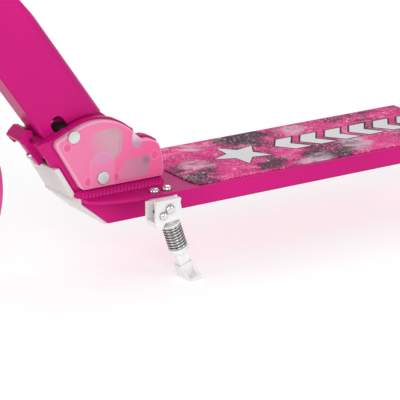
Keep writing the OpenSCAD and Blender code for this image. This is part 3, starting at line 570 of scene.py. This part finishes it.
# two directions square to an axis and to each other
def squareTo(axis):
    axis = unit(axis)
    seed = np.array([0.0, 1.0, 0.0]) if abs(axis[1]) < 0.9 else np.array([1.0, 0.0, 0.0])
    first = unit(np.cross(seed, axis))
    return first, np.cross(axis, first)


# a profile of radius and height turned round an axis: origin + height * axis + radius * (cos, sin)
def lathe(profile, origin, axis, sides=64, shape=None):
    first, second = squareTo(axis)
    profile = np.array(profile, float) * mm
    turn = np.linspace(0, 2 * np.pi, sides, endpoint=False)
    ring = np.cos(turn)[:, None] * first + np.sin(turn)[:, None] * second
    radius = np.repeat(profile[:, :1], sides, 1)
    if shape is not None:
        radius = radius * shape(turn, profile)
    points = np.array(origin) + radius[..., None] * ring + profile[:, None, 1:] * unit(axis)
    return gridFaces(points)


# a round wire wound on a helix: height eases in and out so that the end turns lie flat
def coil(origin, axis, radius, wire, low, high, turns, dead=1.0, sides=10, steps=26):
    first, second = squareTo(axis)
    axis = unit(axis)
    t = np.linspace(0, 1, int(turns * steps) + 1)
    share = dead / turns
    rise = np.clip((t - share / 2) / (1 - share), 0, 1)
    angle = 2 * np.pi * turns * t
    outwardly = np.cos(angle)[:, None] * first + np.sin(angle)[:, None] * second
    centre = (np.array(origin) + outwardly * (radius - wire)
              + (low + wire + (high - low - 2 * wire) * rise)[:, None] * axis)
    along = np.gradient(centre, axis=0)
    along /= np.linalg.norm(along, axis=1)[:, None]
    up = np.cross(along, outwardly)
    turn = np.linspace(0, 2 * np.pi, sides, endpoint=False)
    points = centre[:, None] + wire * (np.cos(turn)[None, :, None] * outwardly[:, None]
                                       + np.sin(turn)[None, :, None] * up[:, None])
    return gridFaces(points)


# each corner of an outline becomes a curve from one side to the next: a quadratic through the corner
def rounded(outline, radius, steps=6):
    p = np.array(outline, float)
    before, after = np.roll(p, 1, 0) - p, np.roll(p, -1, 0) - p
    lb, la = np.linalg.norm(before, axis=1), np.linalg.norm(after, axis=1)
    cut = np.minimum(np.minimum(lb, la) * 0.45, radius)
    start, stop = p + before / lb[:, None] * cut[:, None], p + after / la[:, None] * cut[:, None]
    t = np.linspace(0, 1, steps + 1)[None, :, None]
    curve = start[:, None] * (1 - t) ** 2 + 2 * p[:, None] * t * (1 - t) + stop[:, None] * t ** 2
    return curve.reshape(-1, 2)


def arc(cx, cy, r, start, stop, count=24):
    a = np.radians(np.linspace(start, stop, count + 1))
    return np.stack([cx + r * np.cos(a), cy + r * np.sin(a)], 1)


# points spread evenly along a closed outline
def evenly(outline, count):
    p = np.vstack([outline, outline[:1]])
    run = np.concatenate([[0], np.cumsum(np.linalg.norm(np.diff(p, axis=0), axis=1))])
    at = np.linspace(0, run[-1], count, endpoint=False)
    return np.stack([np.interp(at, run, p[:, 0]), np.interp(at, run, p[:, 1])], 1)


# a copy of a CAD node, merged, its flat faces made whole and its edges rounded by a bevel
def softened(node, width, segments=2, angle=32.0):
    source = frame["nodes"][node]
    mesh = source.data.copy()
    mesh.name = node + "Soft"
    work = bmesh.new()
    work.from_mesh(mesh)
    bmesh.ops.remove_doubles(work, verts=work.verts, dist=2e-6)
    bmesh.ops.dissolve_limit(work, angle_limit=math.radians(0.4), verts=work.verts, edges=work.edges)
    work.to_mesh(mesh)
    work.free()
    mesh.materials.clear()
    piece = placed(node + "Soft", mesh, slots[node], bodyOf[node], angle)
    bevel = piece.modifiers.new("edges", "BEVEL")
    bevel.width = width * mm
    bevel.segments = segments
    bevel.limit_method = "ANGLE"
    bevel.angle_limit = math.radians(angle)
    bevel.use_clamp_overlap = True
    bevel.harden_normals = True
    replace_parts(piece, node)
    return piece


bodyOf = {n: b for b, nodes in frame["record"]["behaviour"]["bodies"].items() for n in nodes}

for node, obj in frame["nodes"].items():
    obj.data.materials.clear()
    obj.data.materials.append(materials[slots[node]])
print("CAD nodes dressed")


softEdges = {
    "deck": 0.8, "deck_nose": 0.8, "hinge_plate_left": 0.9, "hinge_plate_right": 0.9,
    "hinge_bridge": 0.7, "neck": 1.1, "lock_slider": 0.7, "fork": 1.2, "column_clamp": 0.8,
    "height_collar": 0.8, "collar_lever": 0.8, "dropout_left": 0.8, "dropout_right": 0.8,
    "brake_fender": 0.7, "stand_bracket": 0.6, "stand_leg": 0.6, "stand_foot": 0.6,
    "grip_sheet": 0.3, "front_core": 0.7, "rear_core": 0.7, "head_tube": 0.6, "grip_left": 0.8,
    "grip_right": 0.8,
}
for node, width in softEdges.items():
    softened(node, width)
print("rounded edges made")


coverSettings = {
    "outline": [(21.5, -9.6), (48, 36.8), (46.5, 41.5), (31, 48.6)],
    "crest": (4, 0.5, 54.6, 60, 134), "tail": [(-44.2, 29.4), (-51.5, 29.6), (-62.3, 24.3),
                                              (-66.7, 10.7), (-67.8, -4.2), (-66.3, -9.6)],
    "corner": 4.0, "edge": 1.8, "crown": 0.15, "centre": (-6.0, 14.0), "count": 240, "rings": 14,
}


# the cover's outline in the node's own box, then rings from its middle out, round its edge and back
def hingeCover(name, node, side):
    s = coverSettings
    outline = np.vstack([s["outline"], arc(*s["crest"]), s["tail"]])
    outline = evenly(rounded(outline, s["corner"]), s["count"])
    low, high = (np.array(v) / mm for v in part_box(node))
    box0, box1 = outline.min(0), outline.max(0)
    want0 = np.array([low[0], low[2]])
    want1 = np.array([high[0], high[2]])
    outline = want0 + (outline - box0) / (box1 - box0) * (want1 - want0)
    y0, y1 = (low[1], high[1]) if side > 0 else (-high[1], -low[1])
    ahead, behind = np.roll(outline, -1, 0), np.roll(outline, 1, 0)
    tangent = ahead - behind
    tangent /= np.linalg.norm(tangent, axis=1)[:, None]
    normal = np.stack([tangent[:, 1], -tangent[:, 0]], 1)
    centre = np.array(s["centre"]) + [pivot[0] / mm, pivot[2] / mm]
    r = s["edge"]
    inner = outline - normal * r
    rows, heights, rim = [], [], []
    for k in np.linspace(0.02, 1, s["rings"]):
        rows.append(centre + (inner - centre) * k)
        heights.append(y1 - s["crown"] * k * k)
        rim.append(0.0)
    for a in np.linspace(15, 90, 6):
        c, d = math.sin(math.radians(a)), math.cos(math.radians(a))
        rows.append(outline - normal * r * (1 - c))
        heights.append(y1 - s["crown"] - r * (1 - d))
        rim.append(min(1.0, 0.35 + a / 100))
    rows += [outline, outline - normal * 0.5, centre + (inner - centre) * 0.5]
    heights += [y0 + 0.5, y0, y0]
    rim += [1.0, 0.6, 0.0]
    flat = np.array(rows)
    y = np.repeat(np.array(heights)[:, None], len(outline), 1) * side
    points = np.stack([flat[..., 0], y, flat[..., 1]], -1) * mm
    verts, faces = gridFaces(points)
    piece = finished(name, verts, faces, "frosted_pink", "deck_frame", 60)
    # rim: how much painted highlight each point of the rounded edge gets, 1 at the outline
    values = np.concatenate([np.repeat(rim, len(outline)), [0, 0]])
    piece.data.attributes.new("rim", "FLOAT", "POINT").data.foreach_set("value", values)
    outward(piece)
    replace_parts(piece, node)


hingeCover("frostedCoverLeft", "hinge_cover_left", 1)
hingeCover("frostedCoverRight", "hinge_cover_right", -1)
print("covers made")


weldSettings = {"pitch": 3.9, "ripple": 0.3, "steps": 14, "sides": 16, "lag": 0.5}


# a fillet of overlapping scales: a quarter ellipse whose reach saws with the distance along the seam,
# the saw's phase lagging on the bead's crown so that each scale has a curved front
def weldBead(name, node, side):
    s = weldSettings
    low, high = (np.array(v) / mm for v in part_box(node))
    length = high[0] - low[0]
    scales = max(3, round(length / s["pitch"]))
    u = np.linspace(0, 1, scales * s["steps"] + 1)[:, None]
    v = np.linspace(0, np.pi / 2, s["sides"])[None, :]
    phase = u * scales - s["lag"] * np.sin(2 * v) + 0.5
    saw = phase - np.floor(phase)
    lump = np.sqrt(np.clip(1 - (1 - saw) ** 2, 0, 1)) * (saw < 0.97)
    ends = np.clip(np.sin(np.pi * np.clip(u * length / 9, 0, 0.5)), 0, 1)
    ends = ends * np.clip(np.sin(np.pi * np.clip((1 - u) * length / 7, 0, 0.5)), 0, 1)
    size = (1 - s["ripple"] + s["ripple"] * lump) * (0.35 + 0.65 * ends)
    reach = (high[1] - low[1]) * size * np.cos(v)
    rise = (high[2] - low[2]) * size * np.sin(v)
    x = high[0] - u * length + 0 * v
    inner = abs(low[1]) if side > 0 else abs(high[1])
    y = (inner + reach) * side
    z = low[2] + rise
    surface = np.stack([x, y, z], -1)
    corner = np.stack([x[:, :1], np.full_like(x[:, :1], inner * side), np.full_like(x[:, :1], low[2])], -1)
    points = np.concatenate([surface, corner], 1) * mm
    verts, faces = gridFaces(points)
    piece = finished(name, verts, faces, "painted_pink", "deck_frame", 50)
    outward(piece)
    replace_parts(piece, node)


weldBead("weldLeft", "weld_bead_left", 1)
weldBead("weldRight", "weld_bead_right", -1)
print("weld beads made")


springSettings = {
    "stand_spring": {"turns": 9, "wire": 1.0, "dead": 1.2},
    "lock_spring": {"turns": 10, "wire": 0.7, "dead": 1.5},
    "fender_spring": {"turns": 4.5, "wire": 0.9, "dead": 1.0},
}


# the helix turns round the line through the middle of the node's box, in the given direction
def spring(node, axis):
    s = springSettings[node]
    origin = np.mean(np.array(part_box(node)), axis=0)
    low, high, radius = spanOf(node, origin, axis)
    verts, faces = coil(origin, axis, radius, s["wire"] * mm, low, high, s["turns"], s["dead"])
    steel = materials["springSteel"]
    piece = finished(node + "Wire", verts, faces, "bolt_steel", bodyOf[node], 60, steel)
    wire = s["wire"]

    # painted shade: none on the outside of the wire, dark from its flanks inwards
    def flank(points):
        rel = points - np.array(origin) / mm
        away = np.linalg.norm(rel - (rel @ axis)[:, None] * axis, axis=1)
        return (radius / mm - away) / wire * 0.65

    shaded(piece, flank)
    outward(piece)
    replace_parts(piece, node)


spring("stand_spring", standDown)
spring("lock_spring", neckUp)
spring("fender_spring", sideways)
print("springs wound")


tyreSettings = {"grooves": (-5.0, 0.0, 5.0), "groove": 1.1, "deep": 0.8, "wall": 21.0, "sides": 160,
                "ring": 0.35}


# a section of the tyre: a superellipse in width and depth, less a round-bottomed groove at each
# of three places across the tread, and a raised ring on each side wall
def tyreProfile(wheel, half, s):
    a = np.radians(np.linspace(-90, 90, 121))
    rim = wheel - s["wall"]
    across = half * np.sign(np.sin(a)) * np.abs(np.sin(a)) ** 0.8
    depth = (wheel - rim) * np.cos(a) ** 0.55
    for at in s["grooves"]:
        dip = np.clip(1 - ((across - at) / s["groove"]) ** 2, 0, 1)
        depth = depth - s["deep"] * np.sqrt(dip) * (np.abs(a) < 1.0)
    lift = np.clip(1 - ((depth - 6) / 1.2) ** 2, 0, 1) * s["ring"]
    across = across - np.sign(across) * (s["ring"] - lift) * (np.abs(a) > 0.9)
    return np.stack([rim + depth, across], 1)


def tyrePiece(name, node):
    s = tyreSettings
    low, high = (np.array(v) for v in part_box(node))
    centre = (low + high) / 2
    wheel, half = (high[0] - low[0]) / 2 / mm, (high[1] - low[1]) / 2 / mm
    profile = tyreProfile(wheel, half, s)
    inner = wheel - s["wall"] - 1.0
    profile = np.vstack([profile, [(inner, half - 1.5), (inner, -half + 1.5)]])
    rows = np.vstack([profile, profile[:1]])
    first, second = squareTo(sideways)
    turn = np.linspace(0, 2 * np.pi, s["sides"], endpoint=False)
    ring = np.cos(turn)[:, None] * first + np.sin(turn)[:, None] * second
    points = (centre + rows[:-1, None, :1] * mm * ring[None]
              + rows[:-1, None, 1:] * mm * sideways)
    verts, faces = gridFaces(points, wrapU=True)
    piece = outward(finished(name, verts, faces, slots[node], bodyOf[node], 35))
    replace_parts(piece, node)


tyrePiece("frontTread", "front_tyre")
tyrePiece("rearTread", "rear_tyre")
print("tyres made")


# hexagon in place of a circle: the radius grows towards the six corners
def hexagon(turn):
    return np.cos(np.pi / 6) / np.cos((turn + np.pi / 6) % (np.pi / 3) - np.pi / 6)


# a domed head, as radius and height from its seat: a short rim, then a quarter ellipse
def domeProfile(radius, height):
    a = np.radians(np.linspace(0, 89.5, 20))
    dome = np.stack([radius * np.cos(a) ** 0.85, 0.5 + (height - 0.5) * np.sin(a)], 1)
    return np.vstack([[(0.02, 0), (radius, 0)], dome])


# painted shade and painted reflection: dark near the seat, none from the middle of the dome's height upwards
def domeShade(height, top):
    return 0.9 - np.clip(height / top, 0, 1) * 1.9


headSettings = {
    # profiles as radius and height from the seat, in mm; inner is the radius of each stand pin
    "shank": 2.5, "ease": 0.4, "sides": 60, "plateRoll": 1.6,
    "inner": {"stand_pivot": 3.0, "stand_stop": 2.0},
    "nut": [(2.4, -10), (3.9, -10), (4.4, -9.6), (4.4, -6.5), (3.9, -6.1), (2.4, -6.1)],
    "nutBore": 0.003,
}


# a plain bar from its low end up to the seat, as radius and height, its low edge eased
def shankProfile(radius, low, ease, top):
    return [(0.02, low), (radius - ease, low), (radius, low + ease), (radius, top), (0.02, top)]


# the nut's rows grow towards six corners, all but its bore
def nutShape(turn, profile):
    return np.where(profile[:, :1] > headSettings["nutBore"], hexagon(turn)[None, :], 1.0)


def headPiece(name, node, parts, shade):
    piece = finished(name, *joined(parts), "dome_chrome", "deck_frame", 35)
    shaded(piece, shade)
    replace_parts(outward(piece), node)


def deckHeads(name, node):
    s = headSettings
    low, high = (np.array(v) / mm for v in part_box(node))
    top, half = high[2], (high[1] - low[1]) / 2
    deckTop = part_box("deck")[1][2] / mm
    up = np.array([0, 0, 1.0])
    parts = []
    for x in (low[0] + half, high[0] - half):
        seat = np.array([x, (low[1] + high[1]) / 2, deckTop]) * mm
        parts.append(lathe(domeProfile(half, top - deckTop), seat, up, s["sides"]))
        bar = shankProfile(s["shank"], low[2] - deckTop, s["ease"], -0.01)
        parts.append(lathe(bar, seat, up, 32))
        parts.append(lathe(s["nut"], seat, up, 48, nutShape))
    headPiece(name, node, parts, lambda points: domeShade(points[:, 2] - deckTop, top - deckTop))


def standHead(name, node):
    s = headSettings
    low, high = (np.array(v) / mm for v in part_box(node))
    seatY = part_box("stand_bracket")[1][1] / mm - s["plateRoll"]
    seat = np.array([(low[0] + high[0]) / 2, seatY, (low[2] + high[2]) / 2]) * mm
    rise = high[1] - seatY
    bar = shankProfile(s["inner"][node], low[1] - seatY, 0.3, 0.01)
    parts = [lathe(domeProfile((high[0] - low[0]) / 2, rise), seat, sideways, s["sides"]),
             lathe(bar, seat, sideways, 32)]
    headPiece(name, node, parts, lambda points: domeShade(points[:, 1] - seatY, rise))


deckHeads("deckBoltHeads", "deck_bolts")
standHead("stand_pivotHead", "stand_pivot")
standHead("stand_stopHead", "stand_stop")
print("bolts made")

floor = bpy.data.objects.new("floor", bpy.data.meshes.new("floor"))
corners = [(-floorReach, -floorReach, 0), (floorReach, -floorReach, 0),
           (floorReach, floorReach, 0), (-floorReach, floorReach, 0)]
floor.data.from_pydata(corners, [], [(0, 1, 2, 3)])
floor.data.materials.append(materials["floor"])
bpy.context.scene.collection.objects.link(floor)
